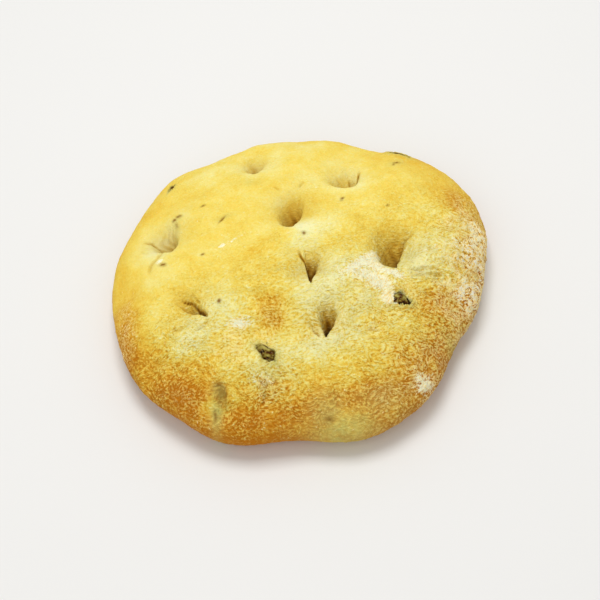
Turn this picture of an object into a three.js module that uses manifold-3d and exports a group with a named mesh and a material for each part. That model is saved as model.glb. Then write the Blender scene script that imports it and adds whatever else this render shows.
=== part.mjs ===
// A small round olive focaccia: one dimpled loaf of bread with pieces of olive set in its crust.
// Lengths are millimetres and angles degrees, counter-clockwise from +X. +Z is up, and the flat
// underside lies at z = 0 with the middle of the loaf's outline over the origin.
import * as THREE from "three";
import { mergeVertices } from "three/addons/utils/BufferGeometryUtils.js";
import Module from "manifold-3d";

const wasm = await Module();
wasm.setup();

// Driving dimensions of the loaf
const loaf = {
  radius: 87, // mean radius of the outline
  height: 35.5, // top of the dome before it is dimpled
  belt: 12.5, // height of the widest ring
  crown: 2.4, // how flat the dome stays towards the middle
  shoulder: 1.9, // how full the dome stays towards the belt
  foot: 0.76, // share of the radius at which the side has turned under
  sink: 3, // how far the uncut round would reach below the table
  detail: 21, // splits of each edge of the icosahedron
};

// The outline departs from a circle by these waves: crests round the loaf, size, heading of a crest
const outlineWaves = [
  { crests: 1, size: 1.4, heading: 146.6 },
  { crests: 2, size: 1.91, heading: 39.6 },
  { crests: 3, size: 1.99, heading: 24.4 },
  { crests: 4, size: 2.04, heading: 26.3 },
  { crests: 5, size: 1.04, heading: 9.7 },
  { crests: 6, size: 0.36, heading: -1.6 },
  { crests: 7, size: 1.26, heading: -20.6 },
  { crests: 8, size: 0.45, heading: -11.9 },
  { crests: 9, size: 0.71, heading: 5.2 },
  { crests: 10, size: 0.23, heading: -15.2 },
  { crests: 11, size: 0.38, heading: 13.8 },
  { crests: 12, size: 0.28, heading: 6.9 },
];

// Long low swells of the risen top: length of a wave, height, the way it runs, phase
const swells = [
  { wave: 61, size: 0.9, heading: 20, phase: 40 },
  { wave: 47, size: 0.8, heading: 95, phase: 200 },
  { wave: 38, size: 0.6, heading: 150, phase: 310 },
  { wave: 29, size: 0.45, heading: 55, phase: 90 },
  { wave: 23, size: 0.3, heading: 120, phase: 10 },
];

// Finger dimples. tip is the end under the lip that heading points to. Away from it the dimple opens over
// length to a half width on its left and its right, each with an opening: 0.3 is a round end and 1 a sharp
// one. It is depth deep at the distance deep from the tip, and leans by lean as it goes down. It lies in
// a funnel and a saucer, each with a dip and a reach.
const dimples = [
  {
    tip: [-0.8, 14.6], heading: -98, length: 27, left: [10, 0.42], right: [6, 0.75], depth: 13, deep: 4.5,
    lean: [0.05, -0.5], funnel: { dip: 3.6, reach: 11 }, saucer: { dip: 1.2, reach: 20 },
  },
  {
    tip: [4.1, -19.2], heading: -80, length: 22, left: [2.4, 0.9], right: [6.5, 1.4], depth: 11, deep: 6,
    lean: [-0.2, -0.4], funnel: { dip: 3.4, reach: 9 }, saucer: { dip: 1.2, reach: 17 },
  },
  {
    tip: [7.3, -48.2], heading: -98, length: 25, left: [5, 1], right: [5.4, 1.2], depth: 15, deep: 6,
    lean: [0, -0.4], funnel: { dip: 3.4, reach: 9 }, saucer: { dip: 1.2, reach: 17 },
  },
  {
    tip: [43.3, -14.1], heading: -98, length: 26, left: [12.5, 0.38], right: [5.5, 1.9], depth: 14,
    deep: 4.5, lean: [0, -0.5], funnel: { dip: 3.6, reach: 11 }, saucer: { dip: 1.2, reach: 20 },
  },
  {
    tip: [26.9, 38], heading: -98, length: 19, left: [12, 0.3], right: [7.5, 0.3], depth: 8, deep: 3.2,
    lean: [0, -0.6], funnel: { dip: 2, reach: 10 }, saucer: { dip: 0.8, reach: 17 },
  },
  {
    tip: [-16, 55], heading: -98, length: 15, left: [7, 0.9], right: [8, 1], depth: 5.5, deep: 2.2,
    lean: [0.1, -0.7], funnel: { dip: 1.4, reach: 8 }, saucer: { dip: 0.6, reach: 13 },
  },
  {
    tip: [-55.9, 14], heading: -73, length: 22, left: [14, 0.75], right: [8, 0.7], depth: 8.5, deep: 3.6,
    lean: [0.15, -0.5], funnel: { dip: 2.2, reach: 12 }, saucer: { dip: 0.8, reach: 18 },
  },
  {
    tip: [-42.4, -27.9], heading: -47, length: 27, left: [1.6, 0.9], right: [7, 0.6], depth: 7.5, deep: 5,
    lean: [-0.1, -0.3], funnel: { dip: 3, reach: 10 }, saucer: { dip: 1.2, reach: 18 },
  },
  {
    tip: [-40.2, -61.4], heading: 84, length: 17, left: [4.5, 0.6], right: [4.5, 0.6], depth: 4.4, deep: 4.5,
    lean: [0, 0.1], funnel: { dip: 2.2, reach: 8 }, saucer: { dip: 0.6, reach: 12 },
  },
  {
    tip: [27, -53], heading: -90, length: 13, left: [11, 0.5], right: [11, 0.5], depth: 1, deep: 4,
    lean: [0, -0.2], funnel: { dip: 0.8, reach: 9 }, saucer: { dip: 0.6, reach: 14 },
  },
];

// Puffs of dough between the dimples
const puffs = [
  { at: [56, -8], reach: 8, lift: 1.6 },
  { at: [-2, 8], reach: 8, lift: 0.9 },
  { at: [-10, -14], reach: 9, lift: 1.3 },
  { at: [-52, -34], reach: 9, lift: 1.5 },
  { at: [-44, 10], reach: 9, lift: 1 },
  { at: [20, 10], reach: 14, lift: 1.2 },
  { at: [-62, -48], reach: 20, lift: 1.6 },
  { at: [-12, -68], reach: 19, lift: 1.6 },
  { at: [42, -58], reach: 20, lift: 1.8 },
  { at: [66, 12], reach: 20, lift: 1.4 },
  { at: [-28, 2], reach: 15, lift: 1.6 },
  { at: [48, 28], reach: 16, lift: 1.2 },
  { at: [-34, 46], reach: 18, lift: 1.2 },
  { at: [5, 62], reach: 16, lift: 1 },
  { at: [-20, -30], reach: 12, lift: 1.2 },
];

// Bumps where a piece of olive lies under the crust, or shows through it
const oliveBumps = [
  { at: [-19, -51], reach: 6.5, lift: 1 },
  { at: [42, -32.3], reach: 6.5, lift: 1.2 },
  { at: [52.6, 52.3], reach: 6.5, lift: 0.9 },
  { at: [-19.1, -62.5], reach: 6, lift: 1 },
  { at: [61.5, -53.5], reach: 7, lift: 1.6 },
  { at: [3, -80], reach: 8, lift: 1.2 },
  { at: [-31.7, 27.5], reach: 6, lift: 0.5 },
  { at: [-54.5, 33.5], reach: 4, lift: 0.6 },
];

// Pieces of olive that show: the place of the middle seen from above, half sizes along, across and
// through the piece, its turn about the crust's normal, and how deep the middle lies under the crust
const olives = [
  { name: "olive_near", at: [-19, -51], radii: [6.6, 4.8, 3.8], turn: -42, under: 3 },
  { name: "olive_right", at: [41.6, -32], radii: [5, 4, 3.4], turn: -20, under: 2.6 },
  { name: "olive_far", at: [54.7, 61.5], radii: [8, 3.2, 2.6], turn: -45, under: 2.1 },
  { name: "olive_left", at: [-55.5, 61], radii: [3.6, 2.4, 2.2], turn: 40, under: 1.9 },
];
const oliveDetail = 3;
const lumpSize = 0.07; // lumps on a piece of olive, as a share of its half size
const socketGap = 0.3;

const crustMaterial = new THREE.MeshStandardMaterial({ color: 0xe0b352, roughness: 0.75, metalness: 0 });
const oliveMaterial = new THREE.MeshStandardMaterial({ color: 0x3a3426, roughness: 0.45, metalness: 0 });

const up = new THREE.Vector3(0, 0, 1);

// Smooth step from 0 at a to 1 at b, where b may be the smaller of the two
function blend(a, b, x) {
  const t = THREE.MathUtils.clamp((x - a) / (b - a), 0, 1);
  return t * t * (3 - 2 * t);
}

function headingVector(degrees) {
  const angle = THREE.MathUtils.degToRad(degrees);
  return new THREE.Vector3(Math.cos(angle), Math.sin(angle), 0);
}

function rimRadius(angle) {
  return outlineWaves.reduce(
    (sum, w) => sum + w.size * Math.cos(w.crests * (angle - THREE.MathUtils.degToRad(w.heading))),
    loaf.radius,
  );
}

// Height of the dome where u is the share of the way from the middle to the rim
function domeHeight(u) {
  const fall = Math.max(0, 1 - u ** loaf.crown);
  return loaf.belt + (loaf.height - loaf.belt) * fall ** (1 / loaf.shoulder);
}

function crustPoint(x, y) {
  const u = Math.min(1, Math.hypot(x, y) / rimRadius(Math.atan2(y, x)));
  return new THREE.Vector3(x, y, domeHeight(u));
}

function crustNormal(x, y, step = 0.5) {
  const slopeX = (crustPoint(x + step, y).z - crustPoint(x - step, y).z) / (2 * step);
  const slopeY = (crustPoint(x, y + step).z - crustPoint(x, y - step).z) / (2 * step);
  return new THREE.Vector3(-slopeX, -slopeY, 1).normalize();
}

// Half section of the loaf from the top of the dome round the belt to the middle of the underside.
// Each row is a share of the radius, a height and the share of the skin's area up to there, with the
// underside counted low, so that most of an even mesh falls on the crust.
function halfSection(domeSteps = 400, sideSteps = 60, underSteps = 30, underWeight = 0.12) {
  const rows = [];
  for (let i = 0; i < domeSteps; i++) {
    const u = (i / (domeSteps - 1)) ** 0.7;
    rows.push({ u, z: domeHeight(u), onDome: true });
  }
  const drop = loaf.belt + loaf.sink;
  for (let i = 1; i < sideSteps; i++) {
    const down = i / (sideSteps - 1);
    const u = loaf.foot + (1 - loaf.foot) * Math.sqrt(Math.max(0, 1 - down * down));
    rows.push({ u, z: loaf.belt - drop * down, onDome: false });
  }
  for (let i = 1; i < underSteps; i++) {
    rows.push({ u: loaf.foot * (1 - i / (underSteps - 1)), z: -loaf.sink, onDome: false });
  }
  rows[0].area = 0;
  for (let i = 1; i < rows.length; i++) {
    const [a, b] = [rows[i - 1], rows[i]];
    const slant = Math.hypot((b.u - a.u) * loaf.radius, b.z - a.z);
    const weight = b.z > 0.5 ? 1 : underWeight;
    b.area = a.area + weight * slant * loaf.radius * (a.u + b.u) * 0.5;
  }
  const whole = rows.at(-1).area;
  rows.forEach((row) => (row.area /= whole));
  return rows;
}
const section = halfSection();

// Place on the undimpled loaf for a direction on the unit sphere, keeping areas in proportion
function restingPoint(direction) {
  const area = (1 - direction.z) / 2;
  const last = section.findIndex((row) => row.area >= area);
  const b = section[last < 1 ? 1 : last];
  const a = section[last < 1 ? 0 : last - 1];
  const t = THREE.MathUtils.clamp((area - a.area) / (b.area - a.area), 0, 1);
  const u = THREE.MathUtils.lerp(a.u, b.u, t);
  const angle = Math.atan2(direction.y, direction.x);
  const reach = u * rimRadius(angle);
  const point = new THREE.Vector3(reach * Math.cos(angle), reach * Math.sin(angle), 0);
  point.z = THREE.MathUtils.lerp(a.z, b.z, t);
  return b.onDome ? gathered(point, u) : point;
}

// The skin is drawn together towards each dimple, so that the walls have points enough
function gathered(point, u, pull = 0.45) {
  const move = new THREE.Vector3();
  for (const d of dimples) {
    const middle = new THREE.Vector3(...d.tip, 0).addScaledVector(headingVector(d.heading), -6);
    const away = new THREE.Vector3(point.x - middle.x, point.y - middle.y, 0);
    const near = Math.exp(-away.lengthSq() / (0.75 * d.length) ** 2);
    move.addScaledVector(away, -pull * near);
  }
  const share = blend(1, 0.9, u);
  return crustPoint(point.x + share * move.x, point.y + share * move.y);
}

function swellLift({ x, y }) {
  return swells.reduce((sum, s) => {
    const run = headingVector(s.heading);
    const turns = (x * run.x + y * run.y) / s.wave;
    return sum + s.size * Math.sin(2 * Math.PI * turns + THREE.MathUtils.degToRad(s.phase));
  }, 0);
}

function puffMove(puff, point) {
  const away = point.distanceToSquared(crustPoint(...puff.at));
  return crustNormal(...puff.at).multiplyScalar(puff.lift * Math.exp(-away / puff.reach ** 2));
}

function dimpleMove(dimple, point) {
  const { length, deep, funnel, saucer } = dimple;
  const normal = crustNormal(...dimple.tip);
  const away = headingVector(dimple.heading).negate().projectOnPlane(normal).normalize();
  const across = new THREE.Vector3().crossVectors(away, normal);
  const push = normal.clone().multiplyScalar(-0.55).addScaledVector(up, -0.45).normalize();
  push.add(new THREE.Vector3(...dimple.lean, 0)).normalize();
  const offset = point.clone().sub(crustPoint(...dimple.tip));
  const d = offset.dot(away);
  const t = offset.dot(across);

  const rise = 1 - (1 - THREE.MathUtils.clamp(d / deep, 0, 1)) ** 2;
  const fall = THREE.MathUtils.clamp((d - deep) / (length - deep), 0, 1);
  const floor = dimple.depth * rise * (1 - fall) ** 2 * (1 + 2 * fall);
  const [wide, open] = t < 0 ? dimple.left : dimple.right;
  const halfWidth = 0.66 * wide * (Math.max(d, 0.01) / (0.7 * length)) ** open;
  const core = floor * Math.exp(-((Math.abs(t) / halfWidth) ** 2.4));
  const lip = 0.07 * dimple.depth * Math.exp(-(((d + 2.2) / 2.6) ** 2) - (t / (0.8 * wide)) ** 2);

  const far = d - 0.4 * length;
  const s = far > 0 ? far / funnel.reach : far / (0.62 * funnel.reach);
  const cone = funnel.dip * Math.exp(-s * s - (t / funnel.reach) ** 2);
  const around = (d - 0.3 * length) ** 2 + t * t;
  const sag = saucer.dip * Math.exp(-around / saucer.reach ** 2);
  return push.multiplyScalar(core + cone).addScaledVector(normal, lip - sag);
}

// The risen, puffed and dimpled place of a point of the plain loaf
function bakedPoint(resting) {
  const point = resting.clone();
  point.z += blend(3, 16, resting.z) * swellLift(resting);
  const start = point.clone();
  const upper = blend(0, 6, resting.z);
  for (const puff of [...puffs, ...oliveBumps]) {
    point.addScaledVector(puffMove(puff, start), upper);
  }
  for (const dimple of dimples) {
    point.addScaledVector(dimpleMove(dimple, start), upper);
  }
  return point;
}

// Moves every point of a unit icosphere to place(direction) and joins its triangles
function mappedSphere(detail, place) {
  const sphere = new THREE.IcosahedronGeometry(1, detail);
  sphere.deleteAttribute("normal");
  sphere.deleteAttribute("uv");
  const geometry = mergeVertices(sphere, 1e-4);
  const position = geometry.attributes.position;
  for (let i = 0; i < position.count; i++) {
    const direction = new THREE.Vector3().fromBufferAttribute(position, i).normalize();
    position.setXYZ(i, ...place(direction).toArray());
  }
  return geometry;
}

function toSolid(geometry) {
  return new wasm.Manifold(
    new wasm.Mesh({
      numProp: 3,
      vertProperties: new Float32Array(geometry.attributes.position.array),
      triVerts: new Uint32Array(geometry.index.array),
    }),
  );
}

function toGeometry(solid) {
  const mesh = solid.getMesh();
  const geometry = new THREE.BufferGeometry();
  geometry.setAttribute("position", new THREE.BufferAttribute(mesh.vertProperties, 3));
  geometry.setIndex(new THREE.BufferAttribute(mesh.triVerts, 1));
  geometry.computeVertexNormals();
  return geometry;
}

// A lumpy piece of olive, grown by grow on every side, in its place in the crust
function oliveGeometry(olive, grow = 0) {
  const [x, y] = olive.at;
  const normal = crustNormal(x, y);
  const middle = bakedPoint(crustPoint(x, y)).addScaledVector(normal, -olive.under);
  const turned = new THREE.Quaternion().setFromUnitVectors(up, normal);
  turned.multiply(new THREE.Quaternion().setFromAxisAngle(up, THREE.MathUtils.degToRad(olive.turn)));
  return mappedSphere(oliveDetail, (direction) => {
    const wave = Math.sin(3 * direction.x + olive.turn) + Math.sin(4 * direction.y - olive.turn);
    const lump = 1 + lumpSize * wave * Math.cos(3 * direction.z);
    const place = direction.clone().multiply(new THREE.Vector3(...olive.radii)).multiplyScalar(lump);
    return place.addScaledVector(direction, grow).applyQuaternion(turned).add(middle);
  });
}

// The block below the table's height that cuts the underside flat
function tableBlock(side = 300, depth = 40) {
  const block = new THREE.BoxGeometry(side, side, depth).translate(0, 0, -depth / 2);
  block.deleteAttribute("normal");
  block.deleteAttribute("uv");
  return toSolid(mergeVertices(block));
}

function loafGeometry() {
  let bread = toSolid(mappedSphere(loaf.detail, (direction) => bakedPoint(restingPoint(direction))));
  bread = bread.subtract(tableBlock());
  for (const olive of olives) {
    bread = bread.subtract(toSolid(oliveGeometry(olive, socketGap)));
  }
  return toGeometry(bread);
}

const focaccia = new THREE.Group();

const breadMesh = new THREE.Mesh(loafGeometry(), crustMaterial);
breadMesh.name = "loaf";
focaccia.add(breadMesh);

for (const olive of olives) {
  const mesh = new THREE.Mesh(oliveGeometry(olive), oliveMaterial.clone());
  mesh.name = olive.name;
  focaccia.add(mesh);
}

// The middle of the outline goes over the origin
const middle = new THREE.Box3().setFromObject(focaccia).getCenter(new THREE.Vector3());
focaccia.children.forEach((mesh) => mesh.position.set(-middle.x, -middle.y, 0));

export default focaccia;
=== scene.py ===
import math
import bpy
import numpy as np
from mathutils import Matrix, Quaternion, Vector, noise


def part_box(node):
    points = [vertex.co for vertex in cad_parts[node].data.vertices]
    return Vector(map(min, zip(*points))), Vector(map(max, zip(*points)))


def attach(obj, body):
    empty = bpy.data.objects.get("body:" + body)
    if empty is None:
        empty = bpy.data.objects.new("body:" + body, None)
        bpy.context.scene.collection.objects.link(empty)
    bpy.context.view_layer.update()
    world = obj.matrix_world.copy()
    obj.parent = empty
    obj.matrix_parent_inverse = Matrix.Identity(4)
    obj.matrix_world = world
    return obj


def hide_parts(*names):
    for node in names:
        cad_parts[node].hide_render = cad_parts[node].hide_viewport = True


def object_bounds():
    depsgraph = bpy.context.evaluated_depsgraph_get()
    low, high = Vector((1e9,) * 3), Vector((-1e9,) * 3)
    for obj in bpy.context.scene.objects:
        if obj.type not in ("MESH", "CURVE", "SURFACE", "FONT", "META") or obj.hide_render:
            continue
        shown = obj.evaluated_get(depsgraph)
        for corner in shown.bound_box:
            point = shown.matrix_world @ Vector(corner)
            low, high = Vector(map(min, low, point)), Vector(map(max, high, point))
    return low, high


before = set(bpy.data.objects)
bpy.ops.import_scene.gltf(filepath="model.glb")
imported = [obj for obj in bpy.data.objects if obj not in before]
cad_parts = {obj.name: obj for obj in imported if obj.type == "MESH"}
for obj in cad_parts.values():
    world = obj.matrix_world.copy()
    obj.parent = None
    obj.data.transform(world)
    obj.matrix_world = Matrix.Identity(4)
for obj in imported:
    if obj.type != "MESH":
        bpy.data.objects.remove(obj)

cadLow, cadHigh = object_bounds()
mm = 0.001  # the loaf is shaped in millimetres and put into metres at the end
print("frame loaded:", ", ".join(sorted(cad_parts)))


def smoothStep(a, b, x):
    t = np.clip((x - a) / (b - a), 0, 1)
    return t * t * (3 - 2 * t)


def headingVector(degrees):
    return np.array([math.cos(math.radians(degrees)), math.sin(math.radians(degrees)), 0.0])


def deselectAll():
    if bpy.context.object and bpy.context.object.mode != "OBJECT":
        bpy.ops.object.mode_set(mode="OBJECT")
    bpy.ops.object.select_all(action="DESELECT")


def meshPoints(obj):
    points = np.empty(len(obj.data.vertices) * 3)
    obj.data.vertices.foreach_get("co", points)
    return points.reshape(-1, 3)


def setMeshPoints(obj, points):
    obj.data.vertices.foreach_set("co", np.ascontiguousarray(points, dtype=np.float32).ravel())
    obj.data.update()


def setAttribute(obj, name, values):
    layer = obj.data.attributes.new(name, "FLOAT", "POINT")
    layer.data.foreach_set("value", np.ascontiguousarray(values, dtype=np.float32))


def noiseField(points, size, seed, octaves=1):  # about -1 to 1, with lumps about size across
    offset = Vector((seed * 7.3, seed * 3.1, seed * 5.7))
    if octaves == 1:
        return np.array([noise.noise(Vector(p) + offset) for p in points / size])
    return np.array([noise.fractal(Vector(p) + offset, 0.9, 2.1, octaves) for p in points / size])


# the loaf as it rises: a round that isn't quite round, with a dome, a belt and a tucked foot
loaf = {
    "radius": 87,
    "height": 35.5,
    "belt": 12.5,  # height of the widest ring
    "crown": 2.4,  # how flat the dome is in the middle
    "shoulder": 1.9,  # how steeply it falls at its edge
    "foot": 0.76,  # radius of the foot, as a share
    "sink": 3.0,  # how far the foot reaches below the table before it is pressed flat
    "segments": 128,  # along each edge of the cube that becomes the loaf
    "underShare": 0.12,  # the underside gets few points
    "dimplePull": (6, 0.75, 0.54),  # set back from the tip, share of the length, strength
    "olivePull": (7, 0.45),  # reach, strength
    "tear": (3.0, 0.8),  # how far the crust sinks over an olive that shows, and stands up round it
    "outlineWaves": ((1, 1.4, 146.6), (2, 1.91, 39.6), (3, 1.99, 24.4), (4, 2.04, 26.3), (5, 1.04, 9.7),
                     (6, 0.36, -1.6), (7, 1.26, -20.6), (8, 0.45, -11.9), (9, 0.71, 5.2),
                     (10, 0.23, -15.2), (11, 0.38, 13.8), (12, 0.28, 6.9)),  # crests, size, heading
    "swells": ((61, 0.9, 20, 40), (47, 0.8, 95, 200), (38, 0.6, 150, 310), (29, 0.45, 55, 90),
               (23, 0.3, 120, 10)),  # wave, size, heading, phase
}

# finger dimples, each with its tip at the lip that heading points to. Wide and open are given to the left
# and to the right as seen from the tip, and open is 0.3 for a round end and 1 for a sharp one. A dimple
# is deepest at deep from its tip, and lean slants the push. The funnel and the saucer round it are a dip
# and a reach, and folds a count and a relief. Shade is painted shade in the colour: how dark the hole is
# painted, how fast that fades up the walls, and how dark the foot of the lip is painted.
dimples = (
    {"name": "middle", "tip": (-0.8, 14.6), "heading": -98, "length": 27, "wide": (10, 6),
     "open": (0.42, 0.75), "depth": 13, "deep": 4.5, "lean": (0.05, -0.5), "funnel": (3.6, 11),
     "saucer": (1.2, 20), "folds": (5, 0.2), "shade": (1.2, 1.6, 0.9)},
    {"name": "slit", "tip": (4.3, -19.2), "heading": -90, "length": 22, "wide": (1.3, 6.5),
     "open": (0.8, 1.4), "depth": 11, "deep": 6, "lean": (0, -0.4), "funnel": (3.4, 9),
     "saucer": (1.2, 17), "folds": (3, 0.2), "shade": (1.8, 1.2, 1.0)},
    {"name": "wedge", "tip": (7.3, -48.2), "heading": -98, "length": 25, "wide": (5, 5.4),
     "open": (1, 1.2), "depth": 15, "deep": 6, "lean": (0, -0.4), "funnel": (3.4, 9),
     "saucer": (1.2, 17), "folds": (4, 0.3), "shade": (2.2, 1.5, 1.3)},
    {"name": "right", "tip": (43.3, -14.1), "heading": -98, "length": 26, "wide": (12.5, 5.5),
     "open": (0.38, 1.9), "depth": 14, "deep": 4.5, "lean": (0, -0.5), "funnel": (3.6, 11),
     "saucer": (1.2, 20), "folds": (5, 0.4), "shade": (0.8, 0.6, 0.6)},
    {"name": "farRight", "tip": (26.9, 38), "heading": -98, "length": 19, "wide": (12, 7.5),
     "open": (0.3, 0.3), "depth": 8, "deep": 3.2, "lean": (0, -0.6), "funnel": (2, 10),
     "saucer": (0.8, 17), "folds": (4, 0.4), "shade": (0.5, 1.4, 0.6)},
    {"name": "farLeft", "tip": (-16, 55), "heading": -98, "length": 15, "wide": (7, 8),
     "open": (0.9, 1), "depth": 5.5, "deep": 2.2, "lean": (0.1, -0.7), "funnel": (1.4, 8),
     "saucer": (0.6, 13), "folds": (3, 0.2), "shade": (0.8, 1, 0.5)},
    {"name": "left", "tip": (-55.9, 14), "heading": -73, "length": 22, "wide": (14, 8),
     "open": (0.75, 0.7), "depth": 8.5, "deep": 3.6, "lean": (0.15, -0.5), "funnel": (2.2, 12),
     "saucer": (0.8, 18), "folds": (8, 0.5), "shade": (0.7, 1, 0.5)},
    {"name": "nearLeft", "tip": (-42.4, -27.9), "heading": -47, "length": 27, "wide": (2.4, 7),
     "open": (0.9, 0.6), "depth": 6.2, "deep": 5, "lean": (-0.1, -0.3), "funnel": (3, 10),
     "saucer": (1.2, 18), "folds": (3, 0.15), "shade": (0.5, 1.2, 1.0)},
    {"name": "front", "tip": (-40.2, -61.4), "heading": 84, "length": 17, "wide": (4.5, 4.5),
     "open": (0.6, 0.6), "depth": 3.8, "deep": 4.5, "lean": (0, 0.1), "funnel": (2.2, 8),
     "saucer": (0.6, 12), "folds": (2, 0.2), "shade": (0.3, 2, 0.3)},
    {"name": "dent", "tip": (27, -53), "heading": -90, "length": 13, "wide": (11, 11),
     "open": (0.5, 0.5), "depth": 1, "deep": 4, "lean": (0, -0.2), "funnel": (0.8, 9),
     "saucer": (0.6, 14), "folds": (3, 0.2), "shade": (0, 1, 0)},
)

# puffs of dough between the dimples: place, reach, lift
puffs = (
    ((56, -8), 8, 1.6), ((-2, 8), 8, 0.9), ((-10, -14), 9, 1.3), ((-52, -34), 9, 1.5), ((-44, 10), 9, 1),
    ((20, 10), 14, 1.2), ((-62, -48), 20, 1.6), ((-12, -68), 19, 1.6), ((42, -58), 20, 1.8),
    ((66, 12), 20, 1.4), ((-28, 2), 15, 1.6), ((48, 28), 16, 1.2), ((-34, 46), 18, 1.2), ((5, 62), 16, 1),
    ((-20, -30), 12, 1.2),
)

# bumps over the pieces of olive, showing or under a film of dough
oliveBumps = (
    ((-19, -51), 6.5, 1), ((42, -32.3), 6.5, 1.2), ((52.6, 52.3), 6.5, 0.9), ((-19.1, -62.5), 6, 1),
    ((61.5, -53.5), 7, 1.6), ((3, -80), 8, 1.2), ((-31.7, 27.5), 6, 0.5), ((-54.5, 33.5), 4, 0.6),
)

# thin creases and folds: points, half width, depth, and how dark the line's painted shade is; a ridge has a
# depth below 0
creases = (
    (((-54.8, -12.2), (-51.2, -14), (-48.2, -17), (-44.6, -22.4), (-42.4, -28.6)), 0.45, 0.8, 1.4),
    (((-42.2, -28.6), (-43, -31), (-45.2, -33), (-48.5, -34)), 0.8, 1.2, 0.2),
    (((-50, -11.6), (-47, -15.2), (-45.2, -18.2)), 0.5, 0.5, 0.5),
    (((-59, -29), (-56, -31.4), (-53, -30.6)), 1.0, 0.8, 0.4),
    (((-71, 27.4), (-66.8, 26.4), (-63, 22.6), (-58.4, 15), (-55.4, 13.2)), 0.6, 1.2, 0.9),
    (((-61, 17), (-63.5, 12.5), (-66.8, 9.4), (-68.6, 4.6)), 1.1, 1.1, 0.3),
    (((-72, 21.5), (-70, 18.8), (-66.8, 17.4)), 0.8, 0.6, 0.2),
    (((44.6, -10), (46, -1), (48.4, 3.2), (54.5, 5)), 0.6, 1.4, 0.8),
    (((0.2, 1.4), (1.4, -2.4), (3.2, -5), (4.6, -8), (4.4, -19.6)), 0.6, 0.7, 1.2),
    (((29.4, 51), (28.9, 44), (28.6, 38)), 0.5, 1.3, 0.9),
    (((34.8, 51), (33.4, 46), (30.8, 38)), 0.5, 1.5, 1.0),
    (((24.2, 50.5), (24.8, 44)), 0.5, 0.7, 0.4),
    (((-16, 54), (-13.4, 56.2), (-12, 63.5)), 0.6, 1.0, 0.9),
    (((46.2, -13.2), (50.2, -14.8), (55.6, -15.2), (61.6, -16.4)), 0.8, -1.1, 0),
    (((46, -15), (52, -16.2), (58, -16.4), (64, -17.3)), 0.5, 0.9, 0.3),
    (((46, -16.6), (52, -17.7), (58, -17.8), (65, -18.4)), 0.8, -1.1, 0),
    (((46, -18), (52, -19), (58, -19), (65, -19.6)), 0.5, 0.9, 0.3),
    (((45.4, -19.2), (52.6, -20.3), (59.2, -20.6), (64, -21.2)), 0.8, -1.0, 0),
    (((25, -45.2), (28, -45.2), (31.5, -46.2)), 0.6, 0.6, 0.35),
    (((24, -49.4), (27.4, -49.8), (31, -51.4)), 0.6, 0.5, 0.3),
    (((-6, 42), (-3.8, 38.4)), 0.7, 0.7, 0.25),
    (((8, 42.5), (4.8, 38)), 0.7, 0.9, 0.35),
    (((0.2, -36.5), (3, -39.5), (5, -44)), 0.8, 0.9, 0.35),
    (((-43.4, -61), (-41.4, -60.4), (-39.4, -61.4), (-38.6, -63.6), (-39, -66.4)), 0.7, 1.0, 0.9),
    (((-30.6, 27), (-33, 24.4)), 0.6, 0.5, 0.5),
    (((35.6, -29.2), (37.6, -27.6), (40.6, -26.6), (43.2, -27), (45.6, -29)), 0.5, 0.7, 0.6),
    (((38, -25.4), (41.2, -24.6), (44, -25.4)), 0.5, 0.5, 0.4),
    (((-23.4, -62.6), (-21.8, -65.6), (-19.8, -65.8)), 0.5, 0.8, 1.0),
    (((-22.2, -67.6), (-22.2, -71), (-23.2, -73.2)), 0.5, 0.8, 0.8),
    (((-25, -65.4), (-23, -66.9), (-19.6, -66.8)), 0.5, 0.6, 0.5),
    (((1.6, -39), (2.8, -43.4), (5, -47)), 0.6, 1.0, 0.8),
    (((24, -16.2), (28, -20), (33, -20.6)), 0.6, 0.6, 0.2),
)

# pieces of olive that show: half sizes, turn, depth of the middle under the crust, and the torn opening
# over each, with its half sizes, its heading, how far off the middle it is, and how ragged its edge is
olives = (
    {"name": "olive_near", "at": (-19, -51), "radii": (6.6, 4.8, 3.8), "turn": -42, "under": 3,
     "opening": (5.4, 2.5), "heading": -57, "offset": (0.2, -0.4), "wobble": 0.12},
    {"name": "olive_right", "at": (41.6, -32), "radii": (5, 4, 3.4), "turn": -20, "under": 2.6,
     "opening": (3.9, 2.6), "heading": -35, "offset": (0.7, 0.2), "wobble": 0.14},
    {"name": "olive_far", "at": (54.7, 61.5), "radii": (8, 3.2, 2.6), "turn": -45, "under": 2.1,
     "opening": (5.2, 2.0), "heading": -45, "offset": (0, 0), "wobble": 0.14},
    {"name": "olive_left", "at": (-55.5, 61), "radii": (3.6, 2.4, 2.2), "turn": 40, "under": 1.9,
     "opening": (2.0, 1.2), "heading": 45, "offset": (0, 0), "wobble": 0.2},
)


def rimRadius(angle):
    reach = np.full_like(angle, loaf["radius"])
    for crests, size, heading in loaf["outlineWaves"]:
        reach = reach + size * np.cos(crests * (angle - math.radians(heading)))
    return reach


def domeHeight(u):
    fall = np.maximum(0, 1 - u ** loaf["crown"])
    return loaf["belt"] + (loaf["height"] - loaf["belt"]) * fall ** (1 / loaf["shoulder"])


def domePoint(x, y):
    x, y = np.atleast_1d(np.asarray(x, float)), np.atleast_1d(np.asarray(y, float))
    u = np.minimum(1, np.hypot(x, y) / rimRadius(np.arctan2(y, x)))
    return np.stack([x, y, domeHeight(u)], 1)


def domeNormal(x, y, step=0.5):
    slopeX = (domePoint(x + step, y)[0, 2] - domePoint(x - step, y)[0, 2]) / (2 * step)
    slopeY = (domePoint(x, y + step)[0, 2] - domePoint(x, y - step)[0, 2]) / (2 * step)
    normal = np.array([-slopeX, -slopeY, 1.0])
    return normal / np.linalg.norm(normal)


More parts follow.
